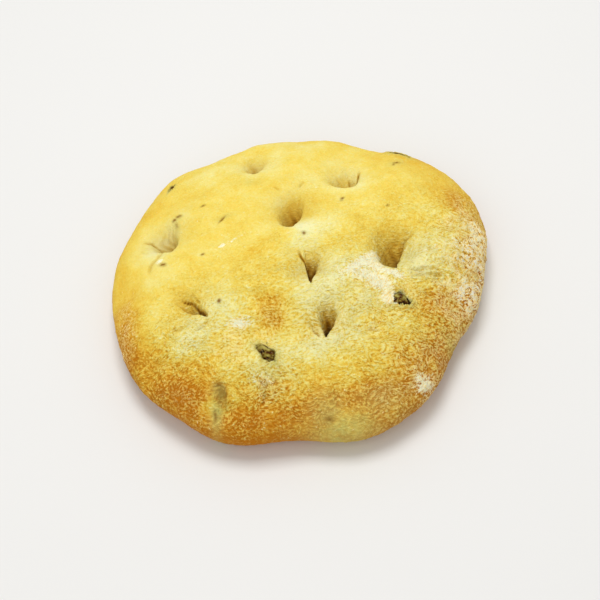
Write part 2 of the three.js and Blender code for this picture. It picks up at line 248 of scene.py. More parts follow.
def halfSection(domeSteps=400, sideSteps=60, underSteps=30):  # from the top round the belt to below
    dome = np.linspace(0, 1, domeSteps) ** 0.7
    rows = [np.stack([dome, domeHeight(dome)], 1)]
    down = np.linspace(0, 1, sideSteps)[1:]
    side = loaf["foot"] + (1 - loaf["foot"]) * np.sqrt(np.maximum(0, 1 - down ** 2))
    rows.append(np.stack([side, loaf["belt"] - (loaf["belt"] + loaf["sink"]) * down], 1))
    under = np.linspace(loaf["foot"], 0, underSteps)[1:]
    rows.append(np.stack([under, np.full_like(under, -loaf["sink"])], 1))
    return np.concatenate(rows), domeSteps


def restingPoints(directions):  # keeps areas in proportion, so that the mesh stays even
    table, domeSteps = halfSection()
    reach, height = table[:, 0] * loaf["radius"], table[:, 1]
    ring = 0.5 * (reach[1:] + reach[:-1]) * np.hypot(np.diff(reach), np.diff(height))
    ring = ring * np.where(height[1:] > 0.5, 1, loaf["underShare"])
    area = np.concatenate([[0], np.cumsum(ring)])
    share = (1 - directions[:, 2]) / 2 * area[-1]
    row = np.interp(share, area, np.arange(len(table)))
    u = np.interp(row, np.arange(len(table)), table[:, 0])
    z = np.interp(row, np.arange(len(table)), height)
    angle = np.arctan2(directions[:, 1], directions[:, 0])
    x, y = u * rimRadius(angle) * np.cos(angle), u * rimRadius(angle) * np.sin(angle)
    onDome = row < domeSteps
    # the skin is drawn together towards the dimples and the olives, for points enough in their walls
    setBack, ofLength, strength = loaf["dimplePull"]
    pulls = [(np.array(dimple["tip"]) - setBack * headingVector(dimple["heading"])[:2],
              ofLength * dimple["length"], strength) for dimple in dimples]
    pulls += [(np.array(olive["at"]), *loaf["olivePull"]) for olive in olives]
    move = np.zeros((len(x), 2))
    for place, reach, pull in pulls:
        away = np.stack([x - place[0], y - place[1]], 1)
        move -= away * (pull * np.exp(-(away ** 2).sum(1) / reach ** 2))[:, None]
    move *= (smoothStep(1.0, 0.9, u) * onDome)[:, None]
    dome = domePoint(x + move[:, 0], y + move[:, 1])
    return np.where(onDome[:, None], dome, np.stack([x, y, z], 1))


def frameAt(place, heading):  # normal of the dome there, and two directions along the skin
    normal = domeNormal(*place)
    away = -headingVector(heading)
    away = away - normal * (away @ normal)
    away /= np.linalg.norm(away)
    return normal, away, np.cross(away, normal)


# what all the dimples share
fingerPress = {
    "push": (0.55, 0.45),  # how much of it goes into the skin, and how much straight down
    "widest": 0.7,  # share of the length at which a dimple has its full width
    "wall": (0.66, 2.4),  # where the side walls stand, as a share of that width, and how steep they are
    "fold": (0.35, 0.9, 0.7),  # how far and how soon the folds sway, and how much of their relief is cut
    "lip": (0.07, 2.2, 2.6),  # height as a share of the depth, how far behind the tip, and reach
    # painted shade in the funnel round a dimple, as a share of its shade
    "shadeAround": 0.28,
    "fullDepth": 13,  # a dimple this deep counts as 1 in hollow
}


def dimpleMove(dimple, start):  # the move of each point, how dark it gets, and how deep it lies from 0 to 1
    normal, away, across = frameAt(dimple["tip"], dimple["heading"])
    inwards, down = fingerPress["push"]
    push = -inwards * normal - np.array([0, 0, down])
    push /= np.linalg.norm(push)
    push += np.array([*dimple["lean"], 0])
    push /= np.linalg.norm(push)
    offset = start - domePoint(*dimple["tip"])[0]
    d, t = offset @ away, offset @ across
    length, deep = dimple["length"], dimple["deep"]
    # a steep wall under the lip, a long slope back up, and two sides of their own widths
    rise = 1 - (1 - np.clip(d / deep, 0, 1)) ** 2
    fall = np.clip((d - deep) / (length - deep), 0, 1)
    wide = np.where(t < 0, *dimple["wide"])
    half = (np.clip(d, 0.01, None) / (fingerPress["widest"] * length)) ** np.where(t < 0, *dimple["open"])
    half = wide * half
    stand, steepness = fingerPress["wall"]
    core = rise * (1 - fall) ** 2 * (1 + 2 * fall) * np.exp(-(np.abs(t) / (stand * half)) ** steepness)
    # folds run down the far wall, as skin that was pushed in with a fingertip
    count, relief = dimple["folds"]
    sway, bend, cut = fingerPress["fold"]
    ray = (2.2 * t / half + sway * np.sin(bend * d + count)) * count
    wall = np.exp(-(t / half) ** 2) * smoothStep(2, 7, d) * smoothStep(length + 3, 0.4 * length, d)
    fold = relief * np.sin(ray) * wall
    # the skin round it is drawn in, and a lip stands up over the tip
    dip, reach = dimple["funnel"]
    far = d - 0.4 * length
    far = np.where(far > 0, far / reach, far / (0.62 * reach))
    cone = dip * np.exp(-far ** 2 - (t / reach) ** 2)
    dip, reach = dimple["saucer"]
    sag = dip * np.exp(-((d - 0.3 * length) ** 2 + t ** 2) / reach ** 2)
    height, behind, reach = fingerPress["lip"]
    lip = height * dimple["depth"] * np.exp(-((d + behind) / reach) ** 2 - (t / (0.8 * wide)) ** 2)
    move = (dimple["depth"] * core + cut * fold + cone)[:, None] * push + (lip - sag)[:, None] * normal
    # painted shade: darker down the hole and in its folds, in the funnel round it, and at the foot of the
    # lip
    shade, steep, foot = dimple["shade"]
    around = fingerPress["shadeAround"] * cone / dimple["funnel"][0] * np.clip(shade, 0, 1.2)
    corner = foot * smoothStep(-0.4, 0.8, d) * smoothStep(5, 1, d) * np.exp(-(t / (0.8 * half)) ** 2)
    dark = shade * core ** steep * (1 - 0.3 * np.sin(ray)) + around + corner
    return move, dark, core * dimple["depth"] / fingerPress["fullDepth"]


def oliveOpening(olive, start):  # 0 in the middle of the torn opening, 1 at its edge
    normal, away, across = frameAt(olive["at"], olive["heading"])
    offset = start - domePoint(*olive["at"])[0]
    offset = offset - np.array([*olive["offset"], 0])
    s, t = offset @ away / olive["opening"][0], offset @ across / olive["opening"][1]
    angle = np.arctan2(t, s)
    turn = olive["turn"]
    ragged = np.sin(3 * angle + turn) + 0.7 * np.sin(5 * angle - turn) + 0.4 * np.sin(9 * angle + 2 * turn)
    torn = noiseField(start + 20 * turn, 1.9, 8, 2)
    edge = np.hypot(s, t) / (1 + olive["wobble"] * (ragged + 1.3 * torn))
    thick = np.abs(offset @ normal)
    return np.where(thick < 8, edge, 9), normal


def bakedPoints(resting):  # the swelled round, the points with puffs and dimples, and their shade and depth
    x, y, z = resting.T
    start = resting.copy()
    lift = np.zeros(len(x))
    for wave, size, heading, phase in loaf["swells"]:
        run = headingVector(heading)
        lift += size * np.sin(2 * math.pi * (x * run[0] + y * run[1]) / wave + math.radians(phase))
    start[:, 2] += smoothStep(3, 16, z) * lift
    points = start.copy()
    upper = smoothStep(0, 6, z)
    for place, reach, lift in puffs + oliveBumps:
        away = ((start - domePoint(*place)[0]) ** 2).sum(1)
        points += (lift * np.exp(-away / reach ** 2) * upper)[:, None] * domeNormal(*place)
    dark, hollow = np.zeros(len(x)), np.zeros(len(x))
    for dimple in dimples:
        move, shade, core = dimpleMove(dimple, start)
        points += upper[:, None] * move
        dark = np.maximum(dark, shade * upper)
        hollow = np.maximum(hollow, core * upper)
    return start, points, dark, hollow


def pathDistance(start, path):  # distance from the path, and the place along it from 0 to 1
    path = np.array(path, float)
    lengths = np.linalg.norm(np.diff(path, axis=0), axis=1)
    nearest, along = np.full(len(start), 1e3), np.zeros(len(start))
    for i, length in enumerate(lengths):
        run = (path[i + 1] - path[i]) / length
        offset = start[:, :2] - path[i]
        s = np.clip(offset @ run, 0, length)
        gap = np.linalg.norm(offset - s[:, None] * run, axis=1)
        closer = gap < nearest
        nearest[closer] = gap[closer]
        along[closer] = (lengths[:i].sum() + s[closer]) / lengths.sum()
    return nearest, along


def thinCreases(start, points, upper):
    dark = np.zeros(len(start))
    wobble = noiseField(start, 4, 6)
    for path, half, depth, shade in creases:
        gap, along = pathDistance(start + 0.5 * wobble[:, None], path)
        window = smoothStep(-0.02, 0.2, along) * smoothStep(1.02, 0.8, along) * (1 + 0.3 * wobble)
        # sharp in the middle, with a low bank on each side
        cut = 1.35 * np.exp(-gap / half) - 0.35 * np.exp(-(gap / (3.2 * half)) ** 2)
        points[:, 2] -= upper * depth * window * cut
        # painted shade along each crease
        dark = np.maximum(dark, shade * window * np.exp(-(gap / (1.1 * half)) ** 2) * upper)
    return dark


# tones of the crust, in patches: place, reach along, reach across, heading, amount
crustTones = {
    "top": 0.36,  # browning of the smooth yellow top, 0 is raw and 1 brown
    "wander": (3.2, 0.5),  # how far the edges of soft and of crisp patches wander, in mm
    "rim": (0.68, 0.98, 0.50),  # browning towards the rim: from and to share of the radius, and its amount
    "front": -80,  # heading of the side that faces the photo's camera, and browned the most
    "side": (0.30, 0.10),  # browning of the side, and how much less of it there is at the front
    "stain": (0.7, 0.7),  # green round an olive that shows: amount, and reach as a share of the opening
    "spotStrength": 1.4,
    "browned": (
        (-13.4, -30, 13, 8, 60, 0.40), (-16.9, 4.4, 11, 5, 20, 0.18), (27.2, -40, 9, 5, 0, 0.10),
        (55.5, -30.3, 10, 8, 30, 0.26), (-52, -61, 26, 13, -40, 0.22), (-10, -74, 34, 9, 0, 0.12),
        (66, 24, 12, 9, 50, 0.06), (75, 20, 9, 6, 50, 0.2), (55, -52, 11, 7, 40, 0.14),
        (-73, -26, 14, 8, 80, 0.08), (45, 12, 18, 12, 40, 0.05), (38, -72, 16, 10, 20, 0.06),
        (-48, 44, 10, 6, 40, 0.06), (-18, 46, 16, 7, 0, 0.05), (20, -54, 26, 9, 0, 0.14),
        (-6, -62, 12, 6, 0, 0.08), (-36, -44, 12, 8, 0, 0.08), (-81, -26, 16, 6, 82, 0.14),
    ),
    "paled": (
        (8, 58, 30, 14, 0, 0.06), (-78, 0, 8, 20, 85, 0.06), (82, 2, 8, 14, 85, 0.12),
        (-64, -24, 8, 8, 0, 0.06), (28, -34, 8, 5, 0, 0.08), (-43, -69, 3.6, 8, 85, 0.6),
        (72, -12, 12, 26, 80, 0.08), (63, -45, 14, 10, 45, 0.10), (27, -33, 8, 5, 0, 0.12),
        (-66, -22, 10, 8, 60, 0.12), (7.6, -84, 12, 5, 0, 0.15), (-19, -64, 7, 6, 0, 0.16),
        (-2, -50, 10, 6, 20, 0.10), (27.4, 49.6, 8, 6, 0, 0.10), (45, -56, 12, 9, 30, 0.06),
        (8.5, 14, 5, 9, 80, 0.14), (-70, 0, 10, 24, 0, 0.08), (-40, 55, 34, 20, 30, 0.05),
        (5, 74, 40, 12, 0, 0.06), (34, -4, 14, 8, 20, 0.10), (66, -2, 14, 20, 80, 0.10),
        (5, 12, 7, 12, 0, 0.22), (8, -11, 11, 13, 0, 0.22), (10, -38, 10, 13, 0, 0.20),
        (4, -53, 12, 6, 0, 0.26), (52, -8, 9, 8, 0, 0.20), (55, -18, 12, 5, -10, 0.28),
        (27, 42, 14, 9, 0, 0.16), (-8, 30, 10, 12, 0, 0.10), (-15, 60, 11, 8, 0, 0.12),
        (-64, 23, 12, 13, 0, 0.32), (-50, -31, 14, 7, 40, 0.17), (-52, -40, 14, 6, 20, 0.20),
        (-8, -24, 10, 8, 0, 0.12), (-36, -24, 8, 8, 0, 0.12), (22, -48, 15, 8, 0, 0.14),
        (-24, -50, 12, 10, 0, 0.14), (14, -22, 14, 8, 20, 0.16),
    ),
    "floured": (  # flour that lies so thick that it is white
        (24.5, -13.5, 7, 3.6, 30, 0.8), (30, -10, 6, 3.4, 40, 0.9), (34, -6.5, 4.4, 3, 50, 0.95),
        (34, -14, 6, 4.5, 0, 0.75), (39.5, -16.5, 5, 2.4, -12, 1.0), (43, -18.5, 3.4, 1.8, -30, 0.85),
        (34, -22, 7, 4, -30, 0.9), (28, -18, 6, 3.6, 0, 0.65), (36.8, -30, 3.6, 4, -60, 1.0),
        (38.6, -32.6, 2.2, 1.6, -30, 0.8), (20, -17, 5, 3, 20, 0.4), (-29.5, -34.5, 5.5, 2.8, -15, 0.7),
        (46, -69.5, 4.6, 3.2, 40, 0.62), (43.5, -67.5, 2.2, 1.4, 60, 0.7),
        # the white fleck at (-62, 9.2) is a painted highlight on the left rim
        (-62, 9.2, 1.8, 0.9, 30, 1.1), (-33.4, 10.2, 3, 1.2, 20, 0.7), (-28, 12, 6, 0.7, 25, 0.5),
        (82, 4, 8, 3, 85, 0.6), (60, -6, 6, 3, 20, 0.25), (72, -20, 5, 3, 60, 0.3),
        (-24, -62, 5, 3, 20, 0.3), (-20.4, -63.2, 2.4, 0.5, 30, 0.65),
        (-18.2, -64.8, 1.8, 0.5, -40, 0.6), (-22.2, -64, 1.6, 0.5, 80, 0.5),
    ),
    "dusted": (  # fine grains and threads of flour
        (55, -14.8, 9, 0.8, -9, 0.6), (56, -17.8, 9, 0.8, -5, 0.6), (55, -20.6, 9, 0.8, -6, 0.5),
        (-58, -60, 30, 16, -35, 0.12), (0, -72, 46, 12, 0, 0.14), (50, -62, 34, 20, 45, 0.42),
        (77, -18, 34, 16, 80, 1.3), (85, 2, 15, 9, 85, 1.3), (-28, -46, 20, 13, 0, 0.5),
        (-14, -36, 14, 10, 30, 0.3), (34, -28, 24, 14, 0, 0.5), (-50, -36, 16, 12, 30, 0.24),
        (-19, -65, 9, 7, 0, 0.6), (8, -44, 16, 12, 0, 0.5), (30, -44, 20, 10, 0, 0.35),
        (-82, -24, 20, 5, 82, 0.4),
    ),
    "grained": (  # where the grain of the crust is coarser or finer than the general drift
        (76, -22, 30, 17, 80, 0.60), (-21, -62, 12, 9, 0, 0.50), (30, -36, 16, 12, 0, 0.20),
        (48, -52, 24, 16, 40, 0.20), (-12, -86, 34, 7, 0, -0.25), (-58, -72, 18, 8, -40, -0.25),
        (-52, -36, 14, 12, 30, 0.20), (8, -42, 14, 14, 0, 0.15), (-70, 20, 16, 30, 0, -0.1),
    ),
    "stained": (  # green and grey from the olives beneath
        (26, -78, 12, 7, 10, 0.35), (4, -80, 8, 8, 0, 0.6), (-62, 20, 9, 9, 0, 0.2),
        (-18.6, -62, 4.5, 4.5, 0, 0.6), (-41.3, -63.5, 3.6, 3.2, 80, 0.7),
        (-43.2, -71.5, 6, 2.6, 82, 1.0), (9, -85, 16, 6, 0, 0.8), (52.2, 50.5, 4.5, 3, 20, 0.45),
        (62, -50.5, 4, 5, 0, 0.5), (-30.5, 26.8, 4.5, 1.5, 20, 0.5), (-52.8, 34, 2.6, 1.6, 20, 0.5),
        (-53.6, 30, 1.6, 4, 10, 0.3), (-18, 47.8, 7, 3.5, 0, 0.3), (4.6, 9.6, 2.0, 1.5, 0, 0.4),
        (-35, -22.5, 3.5, 2.5, 0, 0.2), (37.5, -34.6, 3.6, 1.8, 0, 0.6), (45, -7, 8, 7, 0, 0.22),
    ),
    "spotted": (  # small brown specks
        (-39.8, 36.4, 1.3, 0.6, 10, 0.7), (-42.2, 7, 0.8, 0.6, 0, 0.8), (24.4, 29.8, 1.0, 0.7, 60, 0.8),
        (23.8, 28.4, 0.7, 1.0, 0, 0.5), (44.2, 20.8, 0.7, 0.5, 0, 0.8), (4.4, 9.8, 0.8, 1.0, 0, 0.8),
        (-36.8, -21.2, 0.7, 1.0, 0, 1.0), (-60.8, 6.6, 1.6, 0.8, -20, 0.9),
        (-54.4, 33.8, 1.0, 0.8, 0, 1.0), (-52, 35, 1.4, 0.7, -20, 0.8),
        (-53.6, 30.4, 0.8, 2.0, 10, 0.4), (4, -80.6, 1.3, 1.0, 0, 0.55),
        (-19.4, -61, 1.4, 0.4, 60, 0.3), (-17.2, -63.4, 1.2, 0.4, -70, 0.25),
        (-19.8, -65.8, 1.2, 0.4, 80, 0.4), (52.6, 50.8, 1.6, 0.6, 10, 0.8),
        # the speck at (-40.8, -61.6) is painted shade at the top of the front dimple
        (51, 49.2, 1.0, 0.6, 60, 0.6), (-40.8, -61.6, 2.4, 1.0, 65, 0.15),
        (-44, -72.2, 0.7, 2.0, 0, 0.6), (-31.8, 25.6, 2.2, 0.4, 45, 0.7),
    ),
}


def patchSum(name, warped, blend="add"):
    total = np.zeros(len(warped))
    for x, y, along, across, heading, amount in crustTones[name]:
        run = headingVector(heading)
        s = (warped[:, 0] - x) * run[0] + (warped[:, 1] - y) * run[1]
        t = (warped[:, 1] - y) * run[0] - (warped[:, 0] - x) * run[1]
        patch = amount * np.exp(-(s / along) ** 2 - (t / across) ** 2)
        total = total + patch if blend == "add" else np.maximum(total, patch)
    return total


def paintCrust(obj, start, dark, hollow, edges):  # an attribute for each tone, which the material reads
    x, y, z = start.T
    angle = np.arctan2(y, x)
    share = np.hypot(x, y) / rimRadius(angle)
    flat = start * np.array([1, 1, 0.6])
    warp = np.stack([noiseField(flat, 11, 1, 3), noiseField(flat, 11, 2, 3), np.zeros(len(x))], 1)
    soft, crisp = [start + wander * warp for wander in crustTones["wander"]]
    fine = noiseField(start, 5, 3, 3)
    front = 0.5 + 0.5 * np.cos(angle - math.radians(crustTones["front"]))
    rimFrom, rimTo, amount = crustTones["rim"]
    rim = amount * (0.12 + 0.88 * front ** 0.8) * smoothStep(rimFrom, rimTo, share + 0.05 * warp[:, 0])
    side = smoothStep(17, 6, z) * (share > 0.8)
    browning = crustTones["top"] + rim + patchSum("browned", soft) - patchSum("paled", soft)
    sideAmount, frontLess = crustTones["side"]
    browning += side * (sideAmount - frontLess * front) + 0.04 * fine
    upper = smoothStep(2, 8, z)
    floured = patchSum("floured", soft * 0.5 + crisp * 0.5, "max") * upper
    dusted = patchSum("dusted", soft, "max") + 0.25 * floured + 0.25 * side * (1 - front)
    dusted = dusted * (0.8 + 0.5 * noiseField(start, 9, 4, 2)) * smoothStep(0.8, 0.2, hollow)
    # coarser towards the near side, and smooth in the dimples
    grained = 0.10 + 0.42 * smoothStep(30, -30, y - 0.3 * x) + patchSum("grained", soft)
    grained = (grained + 0.3 * side * (1 - front)) * (1 + 0.35 * noiseField(start, 7, 5, 2))
    grained = grained * upper * smoothStep(1.0, 0.1, hollow)
    stained = patchSum("stained", crisp, "max")
    amount, reach = crustTones["stain"]
    for edge in edges:
        stained = np.maximum(stained, amount * np.exp(-((np.maximum(edge, 1) - 1) / reach) ** 2))
    setAttribute(obj, "browning", np.clip(browning, 0, 1.2))
    # painted shade: that of the dimples and creases, and more of it the deeper a dimple lies
    setAttribute(obj, "dark", np.clip(dark + 0.16 * hollow, 0, 1.5))
    setAttribute(obj, "floured", np.clip(floured, 0, 1))
    setAttribute(obj, "dusted", np.clip(dusted, 0, 1))
    setAttribute(obj, "grained", np.clip(grained, 0, 1.2))
    setAttribute(obj, "stained", np.clip(stained, 0, 1))
    spotted = crustTones["spotStrength"] * patchSum("spotted", crisp, "max")
    setAttribute(obj, "spotted", np.clip(spotted, 0, 1))
    # the torn opening round each olive, whose moat takes the olive film colour with painted shade
    setAttribute(obj, "torn", smoothStep(1.16, 0.94, np.min(edges, axis=0)))
    setAttribute(obj, "under", smoothStep(1.2, 0.1, z))
    return np.clip(dusted, 0, 1), np.clip(floured, 0, 1), np.clip(grained, 0, 1)


def makeLoaf():
    deselectAll()
    bpy.ops.mesh.primitive_cube_add(size=2, location=(0, 0, 0))
    obj = bpy.context.object
    obj.name = "crust"
    bpy.ops.object.mode_set(mode="EDIT")
    bpy.ops.mesh.select_all(action="SELECT")
    bpy.ops.mesh.subdivide(number_cuts=loaf["segments"] // 2 - 1)
    bpy.ops.mesh.subdivide(number_cuts=1)
    bpy.ops.object.mode_set(mode="OBJECT")
    directions = np.tan(meshPoints(obj) * (math.pi / 4))
    directions /= np.linalg.norm(directions, axis=1)[:, None]
    resting = restingPoints(directions)
    start, points, dark, hollow = bakedPoints(resting)
    shift = np.append((points.min(0) + points.max(0))[:2] / 2, 0)  # the smooth loaf's middle, as in the CAD
    upper = smoothStep(0, 6, resting[:, 2])
    dark = np.maximum(dark, thinCreases(start, points, upper))
    edges = []
    for olive in olives:
        edge, normal = oliveOpening(olive, start)
        sink, stand = loaf["tear"]
        sunk = sink * smoothStep(1.08, 0.78, edge) - stand * np.exp(-((edge - 1.25) / 0.25) ** 2)
        points -= sunk[:, None] * normal
        edges.append(edge)
    points[:, 2] = np.maximum(points[:, 2], 0)
    setMeshPoints(obj, (points - shift) * mm)
    weights = paintCrust(obj, start, dark, hollow, edges)
    return obj, shift, resting[:, 2], hollow, weights


# relief of the baked skin: size, height, octaves and kind of the noise
crustRelief = {
    "puffiness": (9, 0.9, 2, "SOFT_NOISE"),
    "wrinkles": (2.6, 0.8, 2, "HARD_NOISE"),
    "grain": (1.4, 0.9, 1, "SOFT_NOISE"),
}


def roughen(obj, name, weights, steps=24):  # a Displace modifier, weighted in steps and applied
    size, strength, octaves, kind = crustRelief[name]
    group = obj.vertex_groups.new(name=name)
    levels = np.clip(np.round(weights * steps), 0, steps).astype(int)
    for level in range(1, steps + 1):
        chosen = np.nonzero(levels == level)[0]
        if len(chosen):
            group.add(chosen.tolist(), level / steps, "REPLACE")
    texture = bpy.data.textures.new(name, "CLOUDS")
    texture.noise_scale = size * mm
    texture.noise_depth = octaves
    texture.noise_type = kind
    modifier = obj.modifiers.new(name, "DISPLACE")
    modifier.texture = texture
    modifier.texture_coords = "LOCAL"
    modifier.vertex_group = name
    modifier.mid_level = 0.5
    modifier.strength = strength * mm
    deselectAll()
    obj.select_set(True)
    bpy.context.view_layer.objects.active = obj
    bpy.ops.object.modifier_apply(modifier=name)
    obj.vertex_groups.remove(obj.vertex_groups[name])


def fitBox(obj, low, high):  # the finished piece fills its CAD node's box and no more
    points = meshPoints(obj)
    lowNow, highNow = points.min(0), points.max(0)
    scale = (np.array(high) - np.array(low)) / (highNow - lowNow)
    setMeshPoints(obj, (points - lowNow) * scale + np.array(low))


crust, shift, restingHeight, hollow, (dusted, floured, grained) = makeLoaf()
aboveFoot = smoothStep(1.5, 7, restingHeight)
outside = 0.4 + 0.6 * smoothStep(0.9, 0.2, hollow)
roughen(crust, "puffiness", aboveFoot * outside)
roughen(crust, "wrinkles", aboveFoot * (0.12 + 0.88 * grained) * outside)
roughen(crust, "grain", aboveFoot * np.clip(0.08 + 0.92 * grained + 0.3 * floured, 0, 1))
fitBox(crust, *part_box("loaf"))
deselectAll()
crust.select_set(True)
bpy.context.view_layer.objects.active = crust
bpy.ops.object.shade_smooth()
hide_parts("loaf")
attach(crust, "root")
print("crust:", len(crust.data.vertices), "points, with dimples", ", ".join(d["name"] for d in dimples))


# what the pieces of olive share
oliveSkin = {
    "lumps": 0.07,
    "wrinkles": (0.42, 0.14),  # size and depth, as shares of the radius
    "flattened": 0.42,  # how much lower the top is under the crust
    # painted shade at the olive's edge, where the crust covers it, and towards one end
    "rimShade": 0.6,
    "endShade": 1.3,
}


def makeOlive(olive):
    low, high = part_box(olive["name"])
    normal = domeNormal(*olive["at"])
    middle = bakedPoints(domePoint(*olive["at"]))[1][0] - olive["under"] * normal - shift
    deselectAll()
    bpy.ops.mesh.primitive_ico_sphere_add(subdivisions=6, radius=1, location=(0, 0, 0))
    obj = bpy.context.object
    obj.name = olive["name"] + "_piece"
    directions = meshPoints(obj)
    directions /= np.linalg.norm(directions, axis=1)[:, None]
    turn = olive["turn"]
    wave = np.sin(3 * directions[:, 0] + turn) + np.sin(4 * directions[:, 1] - turn)
    lump = 1 + oliveSkin["lumps"] * wave * np.cos(3 * directions[:, 2])
    # deep wrinkles, as in the skin of a baked olive
    size, depth = oliveSkin["wrinkles"]
    ridge = 1 - 2 * np.abs(noiseField(directions * np.array([1, 1.6, 1]), size, turn, 3))
    lump -= depth * np.clip(0.55 - ridge, 0, 1)
    points = directions * np.array(olive["radii"]) * lump[:, None]
    # its top stands up only where the crust is torn, and the crust covers the rest
    back, offset = headingVector(-turn), olive["offset"]
    x = points[:, 0] - (offset[0] * back[0] - offset[1] * back[1])
    y = points[:, 1] - (offset[0] * back[1] + offset[1] * back[0])
    run = headingVector(olive["heading"] - turn)
    s = (x * run[0] + y * run[1]) / olive["opening"][0]
    t = (y * run[0] - x * run[1]) / olive["opening"][1]
    covered = smoothStep(0.75, 1.3, np.hypot(s, t))
    points[:, 2] -= oliveSkin["flattened"] * covered * np.clip(points[:, 2], 0, None)
    turned = Vector((0, 0, 1)).rotation_difference(Vector(normal))
    turned = turned @ Quaternion((0, 0, 1), math.radians(turn))
    points = points @ np.array(turned.to_matrix()).T + middle
    setMeshPoints(obj, points * mm)
    fitBox(obj, low, high)
    # darker at its edge and towards the end that turn points to, as painted shade, and lighter on the
    # ridges of its wrinkles as a painted highlight, darker in their creases as painted shade
    rim = smoothStep(0.4, 0.75, np.hypot(directions[:, 0], directions[:, 1]))
    shaded = 0.6 * ridge - oliveSkin["endShade"] * directions[:, 0] - oliveSkin["rimShade"] * rim
    setAttribute(obj, "ridge", shaded)
    bpy.ops.object.shade_smooth()
    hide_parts(olive["name"])
    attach(obj, "root")
    return obj


olivePieces = [makeOlive(olive) for olive in olives]
print("olives:", len(olivePieces), "pieces")


# grains of flour baked on to the crust, each a slim bent grain of eight faces that lies along the skin
flourGrains = {
    "count": 4500,
    "length": (0.3, 1.0),
    "width": (0.14, 0.3),
    "thick": 0.14,
    "gather": 2.2,  # how strongly they keep to where the most flour lies
    "swirl": 16,  # how soon their run turns from place to place, in mm
    "scatter": 0.45,  # how far each one turns from that run, in radians
    "white": (0.3, 0.72),  # they are white above this share of flour or of dust, and yellower elsewhere
    "yellower": 0.62,
    "seed": 11,
}


def makeGrains(carrier, weights):
    random = np.random.default_rng(flourGrains["seed"])
    mesh = carrier.data
    mesh.calc_loop_triangles()
    corners = np.empty(len(mesh.loop_triangles) * 3, np.int32)
    mesh.loop_triangles.foreach_get("vertices", corners)
    corners = corners.reshape(-1, 3)
    points = meshPoints(carrier)
    a, b, c = points[corners[:, 0]], points[corners[:, 1]], points[corners[:, 2]]
    normals = np.cross(b - a, c - a)
    area = np.linalg.norm(normals, axis=1)
    normals /= area[:, None]
    chance = area * weights[corners].mean(1) ** flourGrains["gather"]
    chosen = random.choice(len(corners), flourGrains["count"], p=chance / chance.sum())
    u, v = random.random((2, flourGrains["count"]))
    u, v = np.where(u + v > 1, 1 - u, u), np.where(u + v > 1, 1 - v, v)
    place = a[chosen] + u[:, None] * (b - a)[chosen] + v[:, None] * (c - a)[chosen]
    normal = normals[chosen]
    # the grain of the crust turns slowly from place to place
    turn = math.pi * (noiseField(place / mm, flourGrains["swirl"], 9) + 0.5)
    turn = turn + random.normal(0, flourGrains["scatter"], len(place))
    side = np.stack([np.cos(turn), np.sin(turn), np.zeros(len(place))], 1)
    side -= normal * (side * normal).sum(1)[:, None]
    side /= np.linalg.norm(side, axis=1)[:, None]
    across = np.cross(normal, side)
    length = random.uniform(0, 1, len(place)) ** 2
    low, high = flourGrains["length"]
    length = (low + (high - low) * length) * mm
    width = random.uniform(*flourGrains["width"], len(place)) * mm
    thick = np.full(len(place), flourGrains["thick"] * mm)
    tips = np.array([[1, 0, 0], [-1, 0, 0], [0, 1, 0], [0, -1, 0], [0, 0, 1], [0, 0, -1]], float)
    lumps = tips[None] * random.uniform(0.7, 1.2, (len(place), 6, 1))
    lumps[:, 2:4, 0] += random.uniform(-0.4, 0.4, (len(place), 2))
    lumps[:, :2, 1] += random.uniform(-0.9, 0.9, (len(place), 2))  # bends the thread
    shaped = (lumps[:, :, :1] * (length[:, None, None] * side[:, None])
              + lumps[:, :, 1:2] * (width[:, None, None] * across[:, None])
              + lumps[:, :, 2:] * (thick[:, None, None] * normal[:, None]))
    corner = (shaped + place[:, None] + 0.2 * thick[:, None, None] * normal[:, None]).reshape(-1, 3)
    corner = np.clip(corner, np.array(cadLow), np.array(cadHigh))
    sides = np.array([[0, 2, 4], [2, 1, 4], [1, 3, 4], [3, 0, 4],
                      [2, 0, 5], [1, 2, 5], [3, 1, 5], [0, 3, 5]])
    faces = (sides[None] + 6 * np.arange(len(place))[:, None, None]).reshape(-1, 3)
    grainMesh = bpy.data.meshes.new("flour_grains")
    grainMesh.from_pydata(corner.tolist(), [], faces.tolist())
    obj = bpy.data.objects.new("flour_grains", grainMesh)
    bpy.context.scene.collection.objects.link(obj)
    flourLimit, dustLimit = flourGrains["white"]
    white = floured[corners].mean(1)[chosen] > flourLimit
    white = white | (dusted[corners].mean(1)[chosen] > dustLimit)
    tint = random.random(len(place)) * np.where(white, 1, flourGrains["yellower"])
    setAttribute(obj, "tint", np.repeat(tint, 6))
    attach(obj, "root")
    return obj


grains = makeGrains(crust, np.clip(dusted + 0.6 * floured, 0, 1) * aboveFoot)
print("flour grains:", flourGrains["count"])


def paint(red, green, blue):  # a colour as seen on a screen, 0 to 255, to the linear one that shaders use
    def linear(value):
        value /= 255
        return value / 12.92 if value <= 0.04045 else ((value + 0.055) / 1.055) ** 2.4
    return (linear(red), linear(green), linear(blue), 1)


def addNode(tree, kind, x, y, **settings):
    node = tree.nodes.new(kind)
    node.location = (x, y)
    for key, value in settings.items():
        setattr(node, key, value)
    return node


def setInputs(node, **values):
    for key, value in values.items():
        node.inputs[key.replace("_", " ")].default_value = value


def newGroup(name, inputs, outputs):
    group = bpy.data.node_groups.new(name, "ShaderNodeTree")
    for label, kind, value in inputs:
        socket = group.interface.new_socket(label, in_out="INPUT", socket_type=kind)
        if value is not None:
            socket.default_value = value
    for label, kind in outputs:
        group.interface.new_socket(label, in_out="OUTPUT", socket_type=kind)
    start = addNode(group, "NodeGroupInput", -900, 0)
    end = addNode(group, "NodeGroupOutput", 900, 0)
    return group, start, end


def feed(tree, socket, value):  # a link from another node, or a fixed value
    if isinstance(value, bpy.types.NodeSocket):
        tree.links.new(value, socket)
    else:
        socket.default_value = value


